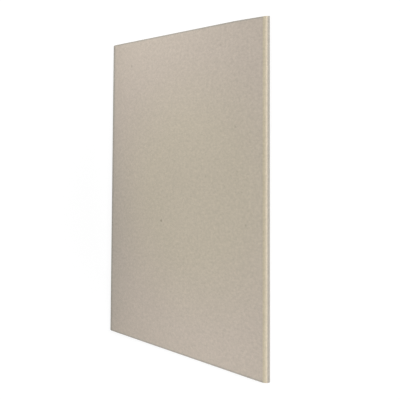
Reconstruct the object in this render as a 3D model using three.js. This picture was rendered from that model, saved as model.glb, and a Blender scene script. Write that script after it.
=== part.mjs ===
// Gypsum wallboard, handy-size sheet, with tapered and rounded long edges.
//
// Millimetres, +Z up. The sheet lies on its back: +X is its width, +Y its length and +Z points
// out of the face. The origin is under the middle of the sheet, on the level it rests on.
//
// The sheet is made as one continuous strip, so its section is the same all along its length:
// a flat face, a shallow taper towards each long edge, a shoulder that bends down from the taper,
// a tighter nose, an upright wall, a small back arris and, on the back, the low margin where the
// folded face liner lies open beside the back liner. The two short ends are cut square.

import * as THREE from 'three';

// Driving dimensions of the sheet.
const SHEET_WIDTH = 600;
const SHEET_LENGTH = 900;
const SHEET_THICKNESS = 16;

// Face taper along each long edge: the width of its straight part, and how far that part drops.
const TAPER_WIDTH = 34;
const TAPER_DROP = 0.8;

// Rounding of a long edge: the shoulder bends on to its slope in degrees, the nose to upright.
const SHOULDER_RADIUS = 40;
const SHOULDER_SLOPE = 12.5;
const NOSE_RADIUS = 4;

// Back of a long edge: the arris radius, and the margin that the back liner leaves open.
const BACK_ARRIS_RADIUS = 0.8;
const BACK_MARGIN_WIDTH = 20;
const BACK_LINER_STEP = 0.35;
const BACK_LINER_BEVEL = 0.5;

// Fineness of the curves.
const SHOULDER_SEGMENTS = 8;
const NOSE_SEGMENTS = 18;
const ARRIS_SEGMENTS = 6;

// The paper liner's colour and surface.
const LINER_COLOUR = 0xb8ad9f;
const LINER_ROUGHNESS = 0.85;

// The places that the section of the +X long edge is drawn from, seen along +Y. Each arc starts
// on the slope that the stretch before it ends on, so face, shoulder, nose and wall are tangent.
function edgeSection() {
  const edgeX = SHEET_WIDTH / 2;
  const taperSlope = Math.atan2(TAPER_DROP, TAPER_WIDTH);
  const shoulderSlope = THREE.MathUtils.degToRad(SHOULDER_SLOPE);
  const noseCentreX = edgeX - NOSE_RADIUS;
  const noseStartX = noseCentreX + NOSE_RADIUS * Math.sin(shoulderSlope);
  const shoulderCentreX = noseStartX - SHOULDER_RADIUS * Math.sin(shoulderSlope);
  const shoulderStartX = shoulderCentreX + SHOULDER_RADIUS * Math.sin(taperSlope);
  const shoulderStartZ = SHEET_THICKNESS - TAPER_DROP;
  const shoulderCentreZ = shoulderStartZ - SHOULDER_RADIUS * Math.cos(taperSlope);
  const noseStartZ = shoulderCentreZ + SHOULDER_RADIUS * Math.cos(shoulderSlope);
  const noseCentreZ = noseStartZ - NOSE_RADIUS * Math.cos(shoulderSlope);
  return {
    edgeX,
    taperStartX: shoulderStartX - TAPER_WIDTH,
    taperSlope,
    shoulderSlope,
    shoulderCentreX,
    shoulderCentreZ,
    noseCentreX,
    noseCentreZ,
    backLinerX: edgeX - BACK_MARGIN_WIDTH,
  };
}

// Points along an arc that bends downwards from one surface slope to another, both ends included.
function arcPoints(centreX, centreZ, radius, startSlope, endSlope, segments) {
  const quarter = Math.PI / 2;
  const curve = new THREE.EllipseCurve(
    centreX, centreZ, radius, radius, quarter - startSlope, quarter - endSlope, true,
  );
  return curve.getPoints(segments);
}

// The right half of the section's outline, from the face down round the edge to the back.
function rightHalfOutline() {
  const edge = edgeSection();
  const upright = Math.PI / 2;
  const shoulder = arcPoints(
    edge.shoulderCentreX, edge.shoulderCentreZ, SHOULDER_RADIUS,
    edge.taperSlope, edge.shoulderSlope, SHOULDER_SEGMENTS,
  );
  const nose = arcPoints(
    edge.noseCentreX, edge.noseCentreZ, NOSE_RADIUS,
    edge.shoulderSlope, upright, NOSE_SEGMENTS,
  );
  const backArris = arcPoints(
    edge.edgeX - BACK_ARRIS_RADIUS, BACK_LINER_STEP + BACK_ARRIS_RADIUS, BACK_ARRIS_RADIUS,
    upright, Math.PI, ARRIS_SEGMENTS,
  );
  return [
    new THREE.Vector2(edge.taperStartX, SHEET_THICKNESS),
    ...shoulder,
    ...nose.slice(1),
    ...backArris,
    new THREE.Vector2(edge.backLinerX, BACK_LINER_STEP),
    new THREE.Vector2(edge.backLinerX - BACK_LINER_BEVEL, 0),
  ];
}

// The whole section: the right half and its mirror image.
function sheetSection() {
  const right = rightHalfOutline();
  const left = right.map((point) => new THREE.Vector2(-point.x, point.y)).reverse();
  return new THREE.Shape([...right, ...left]);
}

function makeSheet() {
  const geometry = new THREE.ExtrudeGeometry(sheetSection(), {
    depth: SHEET_LENGTH,
    bevelEnabled: false,
  });
  geometry.rotateX(Math.PI / 2);
  const material = new THREE.MeshStandardMaterial({
    color: LINER_COLOUR,
    roughness: LINER_ROUGHNESS,
    metalness: 0,
  });
  const sheet = new THREE.Mesh(geometry, material);
  sheet.name = 'drywall_sheet';
  sheet.position.y = SHEET_LENGTH / 2;
  return sheet;
}

const part = new THREE.Group();
part.add(makeSheet());

export default part;
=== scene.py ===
"""The looks of a sheet of gypsum wallboard that lies face up on a pale studio floor.

Metres, in the row frame: +X across the sheet, +Y along it, +Z out of its face. The sheet is
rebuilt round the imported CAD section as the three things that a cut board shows: the face liner
that wraps the long edges, the back liner glued over its flanges, and the gypsum core between
them, which is bare at the two cut ends.
"""

import math

import bmesh
import bpy
import numpy as np
from mathutils import Matrix, Vector, noise


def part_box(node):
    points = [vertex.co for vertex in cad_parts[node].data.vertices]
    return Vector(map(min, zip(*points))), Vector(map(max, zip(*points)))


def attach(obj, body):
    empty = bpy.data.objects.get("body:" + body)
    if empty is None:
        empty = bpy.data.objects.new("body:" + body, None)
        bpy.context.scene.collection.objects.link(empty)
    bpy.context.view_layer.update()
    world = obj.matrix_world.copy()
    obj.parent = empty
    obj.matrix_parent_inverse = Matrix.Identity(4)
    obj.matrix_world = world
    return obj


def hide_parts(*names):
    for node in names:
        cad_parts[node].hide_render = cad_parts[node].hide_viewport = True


# ---------------------------------------------------------------- named values

NODE = "drywall_sheet"
BODY = "root"
MM = 0.001
WHITE = (1, 1, 1, 1)

# The board's papers and core, where the CAD section doesn't say.
FACE_LINER_THICKNESS = 0.45 * MM
FLANGE_LAP = 25 * MM            # how far the folded face liner runs in under the back liner
CORE_CLEARANCE = 0.02 * MM      # the core stays this far inside the papers at the cut ends
CORE_WAIST = 0.15 * MM          # and this much further between them
CORE_WAIST_AT = 20 * MM         # from this far in

# Mesh spacing.
FACE_STEP = 3 * MM
ROW_STEP = 15 * MM
END_ROWS = (0.0, 0.8 * MM, 2.0 * MM, 4.0 * MM, 8.0 * MM)
CORE_STEP = 0.75 * MM
CORE_LAYERS = 18
SAME_PLACE = 0.001 * MM         # points this close are in one place
SECTION_DIGITS = 7              # decimals that the section's points are rounded to
SHARP_ANGLE = math.radians(40)

# Unevenness of the real thing. A fractal is its smoothness, the step between its octaves and
# their number.
FACE_WAVE = 0.10 * MM           # height of the slow waves in the face
FACE_WAVE_LENGTH = 130 * MM
EDGE_WAVE = 0.12 * MM           # how far the long edges wander
EDGE_WAVE_LENGTH = 180 * MM
EDGE_REACH = 60 * MM            # how far in from a long edge that is felt
FRAY_DEPTH = 0.35 * MM          # how unevenly the papers end at a cut end
FRAY_LENGTH = 2.5 * MM
FRAY_REACH = 4.0 * MM           # how far in from the cut that is felt
FRAY_FRACTAL = (1.0, 2.0, 3)
FRAY_PLACE = 40                 # where each end finds its fray in the noise, in fray lengths
CORE_RECESS = 0.45 * MM         # the core stands back this far from the papers' cut edge
CORE_ROUGHNESS = 0.25 * MM
CORE_GRAIN = 2.0 * MM
CORE_FRACTAL = (0.8, 2.0, 4)
CORE_PLACE = 0.5                # where each end finds its relief in the noise, in metres
PIT_SPACING = 4.0 * MM
PIT_RADIUS = 0.30               # as a share of the spacing
PIT_DEPTH = 0.7 * MM

# The ends are cut by scoring the face and snapping: the back stands a little proud of the face,
# and each corner runs short by its own amount. (side, end): (drop, run along the end).
SNAP_SLANT = 2.5 * MM
SNAP_REACH = 60 * MM            # how far in from the cut that is felt
CORNERS = {
    (1, 1): (2.7 * MM, 95 * MM),
    (1, -1): (1.6 * MM, 12 * MM),
    (-1, 1): (0.8 * MM, 14 * MM),
    (-1, -1): (0.5 * MM, 10 * MM),
}

# Colours, linear.
FACE_PAPER = (0.477, 0.415, 0.351)
YELLOWED_PAPER = (0.480, 0.426, 0.338)  # in the middle of the face
SHOULDER_PAPER = (0.499, 0.439, 0.311)  # on the shoulder of the right edge
NOSE_HIGHLIGHT_PAPER = (0.572, 0.497, 0.383)    # painted highlight on the nose of the right edge
SHADE_AND_RIM_PAPER = (0.372, 0.342, 0.294)    # painted shade on the walls and the left fold, and a darker rim along the cuts
BACK_PAPER = (0.385, 0.325, 0.255)
GYPSUM = (0.735, 0.714, 0.668)

# Where the papers' colours, darker rims, painted highlight and painted shade lie.
YELLOWED_AT = (60 * MM, 0.0)
YELLOWED_FADE = (180 * MM, 380 * MM)    # distances from there between which the yellow fades out
LEFT_SHADE_AT = (-900 * MM, -160 * MM)     # painted shade: the face is darker towards its left edge
LEFT_SHADE_FADE = (600 * MM, 740 * MM)     # distances from there between which that fades out
LEFT_SHADE_SHARE = 0.32                    # how far that painted shade goes towards the darker colour
CREASE_WIDTH = 3 * MM           # painted shade of a crease where the shoulder starts
CREASE_SHADE_LOSS = 0.05              # brightness lost there to that painted shade
SHOULDER_FADE = 3 * MM          # width over which the shoulder's colour sets in
NOSE_HIGHLIGHT_FADE = 1.1 * MM             # height over which the painted highlight sets in
NOSE_FADE = 1.2 * MM            # height over which the painted highlight gives way to the wall's painted shade, under the nose
BACK_FADE = (0.3 * MM, 0.9 * MM)        # heights over the back between which all these set in
LEFT_FADE = 4 * MM              # how far the painted shade of the left fold runs on to the taper
NEAR_END_LOSS = 0.07            # brightness lost along the near cut end
CUT_DISTANCE = "cut_distance"   # mesh attribute: how far a point is from the cut end
CUT_RIM = (2.94 * MM, 5.04 * MM)        # distances from a cut end between which its darker rim fades
RIM_LUMPS = 6 * MM              # that rim is ragged in lumps of this size
RIM_RAGGED = 0.5 * MM           # by this much either way
BACK_RIM_SHARE = 0.5            # how far it goes on the back

# Paper detail: sizes of its features, and how strongly each shows.
NOISE_RANGE = (0.3, 0.7)        # nearly all of a noise's values lie in this range
PAPER_MOTTLE = (
    # size of its lumps, detail, roughness, depth as a share of the brightness
    (160 * MM, 2.0, 0.5, 0.012),
    (8.5 * MM, 0.0, 0.5, 0.036),
    ((6.2 * MM, 4.4 * MM, 4.4 * MM), 3.0, 0.4, 0.068),
    (1.2 * MM, 3.0, 0.6, 0.08),
)
PAPER_FIBRES = (
    # width, length, threshold in the noise, depth as a share of the brightness
    (0.35 * MM, 5.0 * MM, 0.66, -0.15),
    (0.45 * MM, 7.0 * MM, 0.67, 0.11),
)
FIBRE_TURNS = (0, 24, -31, 70)  # degrees from the sheet's length
FIBRE_DETAIL = 1.0
FIBRE_EDGE = 0.03               # softness of a strand's edge, in its noise
FACE_VARIATION = 0.84           # how strongly the mottle and the fibres show on each paper
BACK_VARIATION = 1.2
RELIEF_GRAIN = (0.9 * MM, 3.0, 0.6)             # size of its lumps, detail, roughness
RELIEF_FIBRES = (0.5 * MM, 6.0 * MM, 0.66)      # width, length, threshold in the noise
RELIEF_HEIGHT = 0.1 * MM
FACE_BUMP = 0.25                # strength of that relief on each paper
BACK_BUMP = 0.4
FACE_ROUGHNESS = 0.8
FACE_ROUGHNESS_RANGE = (0.74, 0.86)
BACK_ROUGHNESS = 0.9
BACK_ROUGHNESS_RANGE = (0.82, 0.94)
ROUGHNESS_LUMPS = 4.5 * MM

# Specks: spacing, largest radius, share of places that have one, brightness lost in it.
FACE_SPECKS = (22 * MM, 1.1 * MM, 0.35, 0.35)
BACK_SPECKS = (12 * MM, 1.2 * MM, 0.5, 0.3)
BUBBLE_SHADE = (
    # painted shade in the gypsum's air bubbles, large and small
    (3.6 * MM, 0.80 * MM, 0.35, 0.35),
    (1.5 * MM, 0.36 * MM, 0.55, 0.30),
)
SPECK_LEAST = 0.4               # radius of the smallest speck, as a share of the largest
SPECK_SOFT = 0.6                # share of the radius from which its edge fades
FACE_MARKS = (
    # place on the face, radius, share of the brightness that is left
    ((-70 * MM, -88 * MM), 4.8 * MM, 0.64),
    ((202 * MM, 175 * MM), 4.4 * MM, 0.83),
    ((237 * MM, -75 * MM), 4.4 * MM, 0.85),
    ((-206 * MM, 373 * MM), 4.8 * MM, 0.81),
    ((152 * MM, 393 * MM), 4.4 * MM, 0.88),
    ((101 * MM, 43 * MM), 3.5 * MM, 0.86),
    ((225 * MM, 7 * MM), 3.2 * MM, 0.84),
    ((133 * MM, 349 * MM), 3.2 * MM, 0.84),
)
MARK_LUMPS = 4 * MM             # the marks are ragged in lumps of this size
MARK_RAGGED = 0.4               # by this share of their radius
MARK_SOFT = 0.5                 # share of the radius from which a mark fades

# Gypsum detail.
GYPSUM_MOTTLE = (
    # size of its lumps, detail, least and most brightness
    (20 * MM, 2.0, 0.97, 1.03),
    (1.2 * MM, 3.0, 0.92, 1.06),
)
GYPSUM_ROUGHNESS = 0.95
GYPSUM_GRAIN = (0.6 * MM, 4.0, 0.7)     # size of its lumps, detail, roughness
GYPSUM_GRAIN_HEIGHT = 0.2 * MM
GYPSUM_BUMP = 0.8

# Camera: a 50 mm lens, with its shift as the framing needs.
IMAGE_SIDE = 400
SENSOR = 36.0
LENS = 50.0
CAMERA_AT = Vector((1098.2, 102.6, 1129.3)) * MM
CAMERA_YAW = math.radians(42.448)
CAMERA_PITCH = math.radians(2.3875)
CAMERA_ROLL = math.radians(0.2987)
CAMERA_SHIFT = -68.815 / IMAGE_SIDE

# Stage and light. A light's share is the part that it gives of the plain level on the face,
# at which a white surface there renders as white.
FLOOR_SIDE = 16.0
FLOOR_GAP = 0.2 * MM
FLOOR_PALE = 0.80               # the floor's colour as it lights the sheet
FLOOR_ROUGHNESS = 0.9
FLOOR_SEEN = 0.17               # seen directly, this and the glow make white, but for a shadow
FLOOR_GLOW = 0.86
FLOOR_FADE = (0.45, 1.4)        # away from the sheet the glow grows to 1 between these
SKY_SHARE = 0.18
SOFTBOXES = (
    # name, place, side, share
    ("raking_softbox", (5.90, 2.50, 2.80), 2.2, 0.37),
    ("near_softbox", (0.11, -0.71, 0.60), 0.3, 0.151),
    ("middle_softbox", (0.09, 0.16, 0.60), 0.3, 0.045),
    ("far_softbox", (-0.19, 0.72, 0.60), 0.3, 0.185),
    ("low_front_softbox", (0.50, -4.00, 0.60), 0.8, 0.02),
    ("low_left_softbox", (-4.00, -0.80, 0.60), 0.8, 0.02),
)


# ---------------------------------------------------------------- mesh helpers

def mesh_object(name, points, faces):
    """A new object in the scene with this closed mesh, smooth but for its sharp edges."""
    mesh = bpy.data.meshes.new(name)
    mesh.from_pydata([tuple(p) for p in points], [], [tuple(f) for f in faces])
    work = bmesh.new()
    work.from_mesh(mesh)
    bmesh.ops.recalc_face_normals(work, faces=work.faces)
    work.to_mesh(mesh)
    work.free()
    mesh.shade_smooth()
    mesh.set_sharp_from_angle(angle=SHARP_ANGLE)
    made = bpy.data.objects.new(name, mesh)
    bpy.context.scene.collection.objects.link(made)
    return made


def spaced(start, end, step):
    """Evenly spaced numbers from start to end, about step apart, without the last."""
    count = max(1, round(abs(end - start) / step))
    return [start + (end - start) * i / count for i in range(count)]


def row_places(half_length):
    """Places along the sheet, close together near the ends."""
    near = [-half_length + d for d in END_ROWS]
    middle = spaced(near[-1], -near[-1], ROW_STEP)[1:]
    return near + middle + [-y for y in reversed(near)]


# ---------------------------------------------------------------- the section

def right_section(node):
    """The right half of the CAD section, (x, z) points from the face round to the back."""
    points = np.array([v.co for v in node.data.vertices])
    end = points[points[:, 1] > points[:, 1].max() - SAME_PLACE]
    right = {
        (round(float(x), SECTION_DIGITS), round(float(z), SECTION_DIGITS))
        for x, _, z in end if x > 0
    }
    middle = points[:, 2].max() / 2
    slender = points[:, 0].max() / middle
    section = []
    for point in sorted(right, key=lambda p: math.atan2(p[0], (p[1] - middle) * slender)):
        if not section or math.dist(point, section[-1]) > SAME_PLACE:
            section.append(point)
    return section


def wall_top(section):
    """The height at which the upright wall of the long edge bends into the nose."""
    edge_x = max(x for x, _ in section)
    return max(z for x, z in section if x > edge_x - SAME_PLACE)


def offset_inwards(path, distance):
    """The (x, z) path moved to its right by distance, with mitred corners."""
    path = np.array(path)
    along = np.diff(path, axis=0)
    along /= np.linalg.norm(along, axis=1)[:, None]
    normals = np.stack([along[:, 1], -along[:, 0]], axis=1)
    before = np.vstack([normals[:1], normals])
    after = np.vstack([normals, normals[-1:]])
    mitre = before + after
    mitre /= (mitre * before).sum(axis=1)[:, None]
    return [tuple(p) for p in path + mitre * distance]


def subdivide(path, step):
    """The path with its long straight stretches cut into lengths of about step."""
    out = []
    for (x0, z0), (x1, z1) in zip(path, path[1:]):
        for t in spaced(0.0, 1.0, step / math.hypot(x1 - x0, z1 - z0)):
            out.append((x0 + (x1 - x0) * t, z0 + (z1 - z0) * t))
    out.append(tuple(path[-1]))
    return out


def face_liner_paths(section):
    """The face liner's outer and inner paths, from its left flange round the face to its right."""
    thickness = section[0][1]
    lap_x, lap_z = section[-2]
    half = [(0.0, thickness)] + list(section[:-1]) + [(lap_x - FLANGE_LAP, lap_z)]
    right = subdivide(half, FACE_STEP)
    left = [(-x, z) for x, z in reversed(right[1:])]
    outer = left + right
    return outer, offset_inwards(outer, FACE_LINER_THICKNESS)


def back_liner_paths(section):
    """The back liner's lower and upper paths, from its right edge to its left."""
    (upper_x, upper_z), (lower_x, lower_z) = section[-2:]
    lower = subdivide([(lower_x, lower_z), (-lower_x, lower_z)], FACE_STEP)
    widen = upper_x / lower_x
    return lower, [(x * widen, upper_z) for x, _ in lower]


# ---------------------------------------------------------------- a real board's unevenness

def nearness(distance, reach):
    """1 at no distance, falling evenly to 0 at reach and beyond."""
    return max(0.0, 1 - distance / reach)


def settle(x, y, z, size):
    """Where the real board has the point that an ideal one has at (x, y, z).

    The face's waves have their full height down to the middle of the board, and the back is flat.
    """
    height = z / size.z
    side = 1 if x > 0 else -1
    end = 1 if y > 0 else -1
    to_side = size.x / 2 - abs(x)
    to_end = size.y / 2 - abs(y)
    wave = noise.noise(Vector((x, y, 0)) / FACE_WAVE_LENGTH)
    wander = noise.noise(Vector((side, y / EDGE_WAVE_LENGTH, 0)))
    slant = SNAP_SLANT * (0.5 - height) * nearness(to_end, SNAP_REACH)
    drop, run = CORNERS[side, end]
    corner = drop * nearness(to_side, run) * nearness(to_end, SNAP_REACH)
    return (
        x + EDGE_WAVE * wander * nearness(to_side, EDGE_REACH) ** 2,
        y + end * (slant - corner),
        z + FACE_WAVE * wave * min(1.0, 2 * height),
    )


def fray(x, y, z, size):
    """How far a paper's cut edge stands back at this point, fading out away from the end."""
    to_end = size.y / 2 - abs(y)
    if to_end > FRAY_REACH:
        return 0.0
    place = Vector((x, math.copysign(FRAY_PLACE, y) * FRAY_LENGTH, z)) / FRAY_LENGTH
    uneven = 0.5 + 0.5 * noise.fractal(place, *FRAY_FRACTAL)
    return FRAY_DEPTH * max(0.0, uneven) * nearness(to_end, FRAY_REACH) ** 2


def core_relief(x, z, end):
    """How far the broken gypsum stands back from the plane of a cut end, at (x, z)."""
    place = Vector((x, end * CORE_PLACE, z))
    rough = noise.fractal(place / CORE_GRAIN, *CORE_FRACTAL)
    nearest = noise.voronoi(place / PIT_SPACING)[0][0]
    pit = max(0.0, 1 - nearest / PIT_RADIUS)
    return CORE_RECESS + CORE_ROUGHNESS * rough + PIT_DEPTH * math.sqrt(pit)


# ---------------------------------------------------------------- the three pieces

def liner(name, outer, inner, size):
    """A closed paper strip between two paths of the section, swept along the sheet."""
    rows = row_places(size.y / 2)
    columns = len(outer)
    points = []
    distances = []
    for path in (outer, inner):
        for y in rows:
            for x, z in path:
                back = math.copysign(fray(x, y, z, size), y)
                points.append(settle(x, y - back, z, size))
                distances.append(size.y / 2 - abs(y))
    layer = len(rows) * columns

    def index(side, row, column):
        return side * layer + row * columns + column

    faces = []
    for side in (0, 1):
        for r in range(len(rows) - 1):
            for c in range(columns - 1):
                faces.append((
                    index(side, r, c), index(side, r, c + 1),
                    index(side, r + 1, c + 1), index(side, r + 1, c),
                ))
    for r in (0, len(rows) - 1):
        for c in range(columns - 1):
            faces.append((index(0, r, c), index(0, r, c + 1), index(1, r, c + 1), index(1, r, c)))
    for c in (0, columns - 1):
        for r in range(len(rows) - 1):
            faces.append((index(0, r, c), index(0, r + 1, c), index(1, r + 1, c), index(1, r, c)))
    made = mesh_object(name, points, faces)
    attribute = made.data.attributes.new(CUT_DISTANCE, "FLOAT", "POINT")
    attribute.data.foreach_set("value", distances)
    return made


def core_outline(section):
    """The core's section: evenly spaced places across it, and its bottom and top at each."""
    outer, _ = face_liner_paths(section)
    inside = offset_inwards(outer, FACE_LINER_THICKNESS + CORE_CLEARANCE)
    right = inside[len(inside) // 2:]
    reach = max(x for x, _ in right)
    wall = [i for i, (x, _) in enumerate(right) if x > reach - SAME_PLACE]
    top = right[:wall[0] + 1]
    bottom = right[wall[-1]:][::-1]
    # The core reaches down to the back liner between the flanges, and stops just short of them.
    flange_x, flange_z = bottom[0]
    back_z = section[-2][1] + CORE_CLEARANCE
    step = [(0.0, back_z), (flange_x - 2 * CORE_STEP, back_z), (flange_x - CORE_STEP, flange_z)]
    bottom = step + bottom
    xs = spaced(-reach, reach, CORE_STEP) + [reach]
    bottoms = np.interp(np.abs(xs), [p[0] for p in bottom], [p[1] for p in bottom])
    tops = np.interp(np.abs(xs), [p[0] for p in top], [p[1] for p in top])
    return xs, bottoms, tops


def gypsum_core(name, section, size):
    """The core inside the papers, with a broken surface at both cut ends.

    Between its ends it is drawn in a little, so that it stays clear of the papers' slow waves.
    """
    xs, bottoms, tops = core_outline(section)
    columns = len(xs)
    tall = CORE_LAYERS + 1
    grid = [
        (x, low + (high - low) * k / CORE_LAYERS)
        for x, low, high in zip(xs, bottoms, tops)
        for k in range(tall)
    ]
    points = []
    for end in (-1, 1):
        for x, z in grid:
            y = end * (size.y / 2 - core_relief(x, z, end))
            points.append(settle(x, y, z, size))

    faces = []
    for first in (0, len(grid)):
        for c in range(columns - 1):
            for k in range(CORE_LAYERS):
                corner = first + c * tall + k
                faces.append((corner, corner + tall, corner + tall + 1, corner + 1))

    border = [c * tall for c in range(columns - 1)]
    border += [(columns - 1) * tall + k for k in range(CORE_LAYERS)]
    border += [c * tall + CORE_LAYERS for c in range(columns - 1, 0, -1)]
    border += list(range(CORE_LAYERS, 0, -1))
    rings = [border]
    narrow = 1 - CORE_WAIST / xs[-1]
    flat = 1 - CORE_WAIST / (size.z / 2)
    for end in (-1, 1):
        rings.append([len(points) + i for i in range(len(border))])
        y = end * (size.y / 2 - CORE_WAIST_AT)
        for place in border:
            x, z = grid[place]
            points.append((x * narrow, y, size.z / 2 + (z - size.z / 2) * flat))
    rings.append([len(grid) + place for place in border])
    for ring, following in zip(rings, rings[1:]):
        for i in range(len(border)):
            faces.append((ring[i - 1], ring[i], following[i], following[i - 1]))
    return mesh_object(name, points, faces)


# ---------------------------------------------------------------- materials

def new_material(name, colour, roughness):
    """A material with its node tree and its main shader, plain until nodes are linked to it."""
    material = bpy.data.materials.new(name)
    material.diffuse_color = (*colour, 1)
    material.roughness = roughness
    material.use_nodes = True
    shader = material.node_tree.nodes["Principled BSDF"]
    shader.inputs["Base Color"].default_value = (*colour, 1)
    shader.inputs["Roughness"].default_value = roughness
    return material, material.node_tree, shader


def add_node(tree, kind, **settings):
    """A new node. Settings are its properties, or its sockets where no property has the name."""
    node = tree.nodes.new(kind)
    for key, value in settings.items():
        if hasattr(node, key):
            setattr(node, key, value)
        else:
            node.inputs[key].default_value = value
    return node


def feed(tree, socket, value):
    """Give a socket its value, which is a constant or an output."""
    if isinstance(value, bpy.types.NodeSocket):
        tree.links.new(value, socket)
    else:
        socket.default_value = value


def maths(tree, operation, *values):
    """A Math node on outputs or numbers."""
    node = add_node(tree, "ShaderNodeMath", operation=operation)
    for socket, value in zip(node.inputs, values):
        feed(tree, socket, value)
    return node.outputs[0]


def product(tree, values):
    """All the values multiplied together."""
    total = values[0]
    for value in values[1:]:
        total = maths(tree, "MULTIPLY", total, value)
    return total


def spread(tree, value, low, high, source=NOISE_RANGE):
    """The value mapped from its source range to low and high, and held there outside it."""
    node = add_node(tree, "ShaderNodeMapRange")
    sockets = ("From Min", "From Max", "To Min", "To Max")
    for socket, number in zip(sockets, (*source, low, high)):
        node.inputs[socket].default_value = number
    tree.links.new(value, node.inputs["Value"])
    return node.outputs["Result"]


def blended(tree, factor, first, second):
    """The first vector where the factor is 0 and the second where it is 1."""
    node = add_node(tree, "ShaderNodeMix", data_type="VECTOR")
    tree.links.new(factor, node.inputs["Factor"])
    sockets = [socket for socket in node.inputs if socket.type == "VECTOR"]
    feed(tree, sockets[-2], first)
    feed(tree, sockets[-1], second)
    return next(output for output in node.outputs if output.type == "VECTOR")


def tinted(tree, colour, brightness):
    """A colour times a brightness output."""
    node = add_node(tree, "ShaderNodeVectorMath", operation="SCALE")
    feed(tree, node.inputs[0], colour)
    tree.links.new(brightness, node.inputs["Scale"])
    return node.outputs["Vector"]


def feature_place(tree, feature, turn=0.0):
    """Object coordinates counted in features: (x, y, z) sizes in metres, turned about Z."""
    coordinates = add_node(tree, "ShaderNodeTexCoord")
    mapping = add_node(tree, "ShaderNodeMapping", vector_type="TEXTURE")
    mapping.inputs["Rotation"].default_value = (0, 0, turn)
    mapping.inputs["Scale"].default_value = feature
    tree.links.new(coordinates.outputs["Object"], mapping.inputs["Vector"])
    return mapping.outputs["Vector"]


def lumps(tree, feature, detail=2.0, roughness=0.5, turn=0.0):
    """Noise whose lumps have this size, one number or (x, y, z), in metres."""
    if isinstance(feature, float):
        feature = (feature, feature, feature)
    node = add_node(tree, "ShaderNodeTexNoise", Scale=1.0, Detail=detail, Roughness=roughness)
    tree.links.new(feature_place(tree, feature, turn), node.inputs["Vector"])
    return node.outputs["Fac"]


def fibres(tree, width, length, threshold):
    """1 on thin strands that lie every way, mostly along the sheet, and 0 between them."""
    strands = None
    for turn in FIBRE_TURNS:
        field = lumps(tree, (width, length, width), FIBRE_DETAIL, turn=math.radians(turn))
        strand = spread(tree, field, 0, 1, (threshold, threshold + FIBRE_EDGE))
        strands = strand if strands is None else maths(tree, "MAXIMUM", strands, strand)
    return strands


def specked(tree, spacing, radius, share, loss):
    """What is left of the brightness: less by the loss on round specks, and 1 between them.

    The specks have up to this radius, and lie in this share of the cells of the spacing.
    """
    node = add_node(tree, "ShaderNodeTexVoronoi", Scale=1.0)
    tree.links.new(feature_place(tree, (spacing, spacing, spacing)), node.inputs["Vector"])
    drawn = add_node(tree, "ShaderNodeSeparateColor")
    tree.links.new(node.outputs["Color"], drawn.inputs["Color"])
    size = spread(tree, drawn.outputs["Green"], SPECK_LEAST, 1, (0, 1))
    distance = maths(tree, "DIVIDE", node.outputs["Distance"], size)
    edge = radius / spacing
    inside = spread(tree, distance, 1, 0, (SPECK_SOFT * edge, edge))
    present = maths(tree, "LESS_THAN", drawn.outputs["Red"], share)
    lost = maths(tree, "MULTIPLY", maths(tree, "MULTIPLY", inside, present), loss)
    return maths(tree, "SUBTRACT", 1, lost)


def object_axes(tree):
    """The object coordinates as three outputs, X, Y and Z."""
    coordinates = add_node(tree, "ShaderNodeTexCoord")
    split = add_node(tree, "ShaderNodeSeparateXYZ")
    tree.links.new(coordinates.outputs["Object"], split.inputs["Vector"])
    return split.outputs


def level_distance(tree, x=0.0, y=0.0):
    """The distance from an upright line through (x, y)."""
    coordinates = add_node(tree, "ShaderNodeTexCoord")
    flat = add_node(tree, "ShaderNodeVectorMath", operation="MULTIPLY_ADD")
    flat.inputs[1].default_value = (1, 1, 0)
    flat.inputs[2].default_value = (-x, -y, 0)
    tree.links.new(coordinates.outputs["Object"], flat.inputs[0])
    length = add_node(tree, "ShaderNodeVectorMath", operation="LENGTH")
    tree.links.new(flat.outputs["Vector"], length.inputs[0])
    return length.outputs["Value"]


def cut_rim(tree):
    """1 on the paper along a cut end, and 0 elsewhere."""
    distance = add_node(tree, "ShaderNodeAttribute", attribute_name=CUT_DISTANCE)
    ragged = spread(tree, lumps(tree, RIM_LUMPS), -RIM_RAGGED, RIM_RAGGED)
    moved = maths(tree, "ADD", distance.outputs["Fac"], ragged)
    return spread(tree, moved, 1, 0, CUT_RIM)


def paper_brightness(tree, strength):
    """The mottle and the fibres that both papers share, at this strength."""
    layers = []
    for *look, depth in PAPER_MOTTLE:
        swing = depth * strength
        layers.append(spread(tree, lumps(tree, *look), 1 - swing, 1 + swing))
    for width, length, threshold, depth in PAPER_FIBRES:
        strands = maths(tree, "MULTIPLY", fibres(tree, width, length, threshold), depth * strength)
        layers.append(maths(tree, "ADD", 1, strands))
    return product(tree, layers)


def add_bump(tree, shader, relief, strength, distance):
    """Fine relief on the surface, from a height output."""
    bump = add_node(tree, "ShaderNodeBump", Strength=strength, Distance=distance)
    tree.links.new(relief, bump.inputs["Height"])
    tree.links.new(bump.outputs["Normal"], shader.inputs["Normal"])


def paper_surface(tree, shader, roughness_range, strength):
    """Uneven roughness and fine fibrous relief on a paper."""
    roughness = spread(tree, lumps(tree, ROUGHNESS_LUMPS), *roughness_range)
    tree.links.new(roughness, shader.inputs["Roughness"])
    relief = maths(tree, "ADD", lumps(tree, *RELIEF_GRAIN), fibres(tree, *RELIEF_FIBRES))
    add_bump(tree, shader, relief, strength, RELIEF_HEIGHT)


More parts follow.
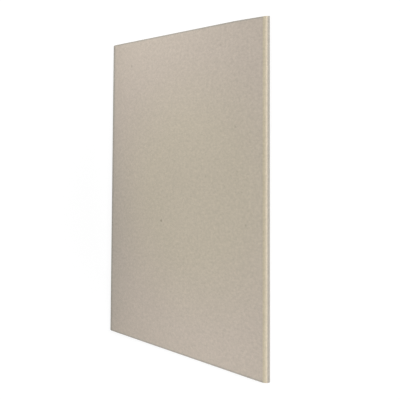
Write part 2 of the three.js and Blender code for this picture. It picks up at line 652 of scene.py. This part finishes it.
def face_colour(tree, section):
    """The face liner's colour: painted highlight on the right nose, painted shade on walls and
    left side, darker rims at cuts.
    """
    wall_z = wall_top(section)
    shoulder_x, shoulder_z = section[1]
    back_z = section[-2][1]
    x, _, z = object_axes(tree)
    yellowed = spread(tree, level_distance(tree, *YELLOWED_AT), 1, 0, YELLOWED_FADE)
    # painted shade towards the left edge of the face
    left_shade = spread(tree, level_distance(tree, *LEFT_SHADE_AT), LEFT_SHADE_SHARE, 0, LEFT_SHADE_FADE)
    above_back = spread(tree, z, 0, 1, (back_z + BACK_FADE[0], back_z + BACK_FADE[1]))
    half = SHOULDER_FADE / 2
    right = spread(tree, x, 0, 1, (shoulder_x - half, shoulder_x + half))
    right = maths(tree, "MULTIPLY", above_back, right)
    # painted highlight on the nose of the right edge, below the shoulder
    under_shoulder = spread(tree, z, 1, 0, (shoulder_z - NOSE_HIGHLIGHT_FADE, shoulder_z))
    nose_highlight = maths(tree, "MULTIPLY", above_back, under_shoulder)
    # painted shade on the left fold and, under the nose, on both walls
    left = spread(tree, x, 1, 0, (-shoulder_x, -shoulder_x + LEFT_FADE))
    under_nose = spread(tree, z, 1, 0, (wall_z, wall_z + NOSE_FADE))
    fold_shade = maths(tree, "MULTIPLY", above_back, maths(tree, "MAXIMUM", under_nose, left))
    # a darker rim along the cuts; it and the painted shades take one darker colour
    rim = maths(tree, "MULTIPLY", cut_rim(tree), maths(tree, "SUBTRACT", 1, right))
    shade_and_rim = maths(tree, "MAXIMUM", maths(tree, "MAXIMUM", fold_shade, rim), left_shade)
    colour = blended(tree, yellowed, FACE_PAPER, YELLOWED_PAPER)
    colour = blended(tree, right, colour, SHOULDER_PAPER)
    colour = blended(tree, nose_highlight, colour, NOSE_HIGHLIGHT_PAPER)
    return blended(tree, shade_and_rim, colour, SHADE_AND_RIM_PAPER)


def crease_shade(tree, section):
    """What is left of the brightness: 1, but less in the painted shade of a crease where the
    shoulder starts.
    """
    x = object_axes(tree)["X"]
    middle = section[1][0] - CREASE_WIDTH
    off = maths(tree, "ABSOLUTE", maths(tree, "SUBTRACT", x, middle))
    return spread(tree, off, 1 - CREASE_SHADE_LOSS, 1, (0, CREASE_WIDTH))


def marked(tree):
    """What is left of the brightness: 1, but less in each of the face's marks, as a list."""
    ragged = spread(tree, lumps(tree, MARK_LUMPS), 1 - MARK_RAGGED, 1 + MARK_RAGGED)
    marks = []
    for place, radius, left in FACE_MARKS:
        distance = maths(tree, "MULTIPLY", level_distance(tree, *place), ragged)
        marks.append(spread(tree, distance, left, 1, (MARK_SOFT * radius, radius)))
    return marks


def near_end_rim(tree):
    """What is left of the brightness: 1, but less along the near cut end."""
    at_near_end = maths(tree, "LESS_THAN", object_axes(tree)["Y"], 0)
    rim = maths(tree, "MULTIPLY", cut_rim(tree), at_near_end)
    return maths(tree, "SUBTRACT", 1, maths(tree, "MULTIPLY", rim, NEAR_END_LOSS))


def face_paper(section):
    """Grey-buff recycled paper, with a few dull marks."""
    material, tree, shader = new_material("face_paper", FACE_PAPER, FACE_ROUGHNESS)
    brightness = product(tree, [
        paper_brightness(tree, FACE_VARIATION), specked(tree, *FACE_SPECKS), *marked(tree),
        crease_shade(tree, section), near_end_rim(tree),
    ])
    colour = tinted(tree, face_colour(tree, section), brightness)
    tree.links.new(colour, shader.inputs["Base Color"])
    paper_surface(tree, shader, FACE_ROUGHNESS_RANGE, FACE_BUMP)
    return material


def back_paper():
    """Browner, coarser paper."""
    material, tree, shader = new_material("back_paper", BACK_PAPER, BACK_ROUGHNESS)
    brightness = product(tree, [
        paper_brightness(tree, BACK_VARIATION), specked(tree, *BACK_SPECKS),
    ])
    rim = maths(tree, "MULTIPLY", cut_rim(tree), BACK_RIM_SHARE)
    colour = blended(tree, rim, BACK_PAPER, SHADE_AND_RIM_PAPER)
    tree.links.new(tinted(tree, colour, brightness), shader.inputs["Base Color"])
    paper_surface(tree, shader, BACK_ROUGHNESS_RANGE, BACK_BUMP)
    return material


def gypsum():
    """Off-white set plaster, with small dark spots that paint the shade in its air bubbles where
    it is cut.
    """
    material, tree, shader = new_material("gypsum", GYPSUM, GYPSUM_ROUGHNESS)
    layers = [
        spread(tree, lumps(tree, feature, detail), least, most)
        for feature, detail, least, most in GYPSUM_MOTTLE
    ]
    layers += [specked(tree, *bubbles) for bubbles in BUBBLE_SHADE]
    colour = tinted(tree, GYPSUM, product(tree, layers))
    tree.links.new(colour, shader.inputs["Base Color"])
    grain = lumps(tree, *GYPSUM_GRAIN)
    add_bump(tree, shader, grain, GYPSUM_BUMP, GYPSUM_GRAIN_HEIGHT)
    return material


# ---------------------------------------------------------------- stage, light and camera

def seen_directly(tree):
    """1 for rays that show the background as it is: from the camera, or by gloss or glass."""
    path = add_node(tree, "ShaderNodeLightPath")
    mirrored = maths(
        tree, "MAXIMUM", path.outputs["Is Glossy Ray"], path.outputs["Is Transmission Ray"],
    )
    return maths(tree, "MAXIMUM", path.outputs["Is Camera Ray"], mirrored)


def make_floor():
    """A pale floor that keeps the sheet's shadow and is white where it is seen directly."""
    half = FLOOR_SIDE / 2
    corners = [(-half, -half), (half, -half), (half, half), (-half, half)]
    mesh = bpy.data.meshes.new("studio_floor")
    mesh.from_pydata([(x, y, -FLOOR_GAP) for x, y in corners], [], [(0, 1, 2, 3)])
    floor = bpy.data.objects.new("studio_floor", mesh)
    bpy.context.scene.collection.objects.link(floor)
    material, tree, shader = new_material("pale_floor", (FLOOR_PALE,) * 3, FLOOR_ROUGHNESS)
    shader.inputs["Specular IOR Level"].default_value = 0.0
    shader.inputs["Emission Color"].default_value = WHITE
    seen = seen_directly(tree)
    grey = spread(tree, seen, FLOOR_PALE, FLOOR_SEEN, (0, 1))
    glow = spread(tree, level_distance(tree), FLOOR_GLOW, 1, FLOOR_FADE)
    tree.links.new(grey, shader.inputs["Base Color"])
    tree.links.new(maths(tree, "MULTIPLY", seen, glow), shader.inputs["Emission Strength"])
    mesh.materials.append(material)


def make_world():
    """An even sky that gives its share of the light, and is white where it is seen directly."""
    world = bpy.data.worlds.new("studio")
    bpy.context.scene.world = world
    world.use_nodes = True
    tree = world.node_tree
    background = tree.nodes["Background"]
    background.inputs["Color"].default_value = WHITE
    strength = spread(tree, seen_directly(tree), SKY_SHARE, 1, (0, 1))
    tree.links.new(strength, background.inputs["Strength"])


def softbox(name, place, side, share):
    """A square area light that points at the middle of the sheet's face."""
    place = Vector(place)
    upright = place.z / place.length
    light = bpy.data.lights.new(name, "AREA")
    light.shape = "SQUARE"
    light.size = side
    light.energy = share * math.pi ** 2 * place.length_squared / upright
    lamp = bpy.data.objects.new(name, light)
    lamp.location = place
    lamp.rotation_mode = "QUATERNION"
    lamp.rotation_quaternion = place.to_track_quat("Z", "Y")
    lamp.visible_camera = False
    bpy.context.scene.collection.objects.link(lamp)


def make_camera():
    """The photo's camera."""
    data = bpy.data.cameras.new("photo_camera")
    data.sensor_width = SENSOR
    data.lens = LENS
    data.shift_y = CAMERA_SHIFT
    camera = bpy.data.objects.new("photo_camera", data)
    turn = (
        Matrix.Rotation(CAMERA_YAW, 4, "Y")
        @ Matrix.Rotation(CAMERA_PITCH, 4, "X")
        @ Matrix.Rotation(CAMERA_ROLL, 4, "Z")
    )
    camera.matrix_world = Matrix.Translation(CAMERA_AT) @ turn
    bpy.context.scene.collection.objects.link(camera)
    bpy.context.scene.camera = camera


# ---------------------------------------------------------------- the scene

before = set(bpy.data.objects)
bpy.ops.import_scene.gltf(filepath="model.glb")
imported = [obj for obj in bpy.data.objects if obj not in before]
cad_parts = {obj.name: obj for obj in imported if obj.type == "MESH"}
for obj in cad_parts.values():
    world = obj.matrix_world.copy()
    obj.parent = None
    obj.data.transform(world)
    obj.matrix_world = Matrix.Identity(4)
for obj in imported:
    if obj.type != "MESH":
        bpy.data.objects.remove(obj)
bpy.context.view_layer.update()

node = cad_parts[NODE]
low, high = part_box(NODE)
size = high - low
section = right_section(node)

make_camera()
make_world()
make_floor()
for values in SOFTBOXES:
    softbox(*values)

bpy.context.scene.view_settings.view_transform = "Standard"

face = liner("face_liner", *face_liner_paths(section), size)
back = liner("back_liner", *back_liner_paths(section), size)
core = gypsum_core("gypsum_core", section, size)

face.data.materials.append(face_paper(section))
back.data.materials.append(back_paper())
core.data.materials.append(gypsum())

for piece, slot in ((face, "face_liner"), (back, "back_liner"), (core, "gypsum_core")):
    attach(piece, BODY)
    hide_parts(NODE)
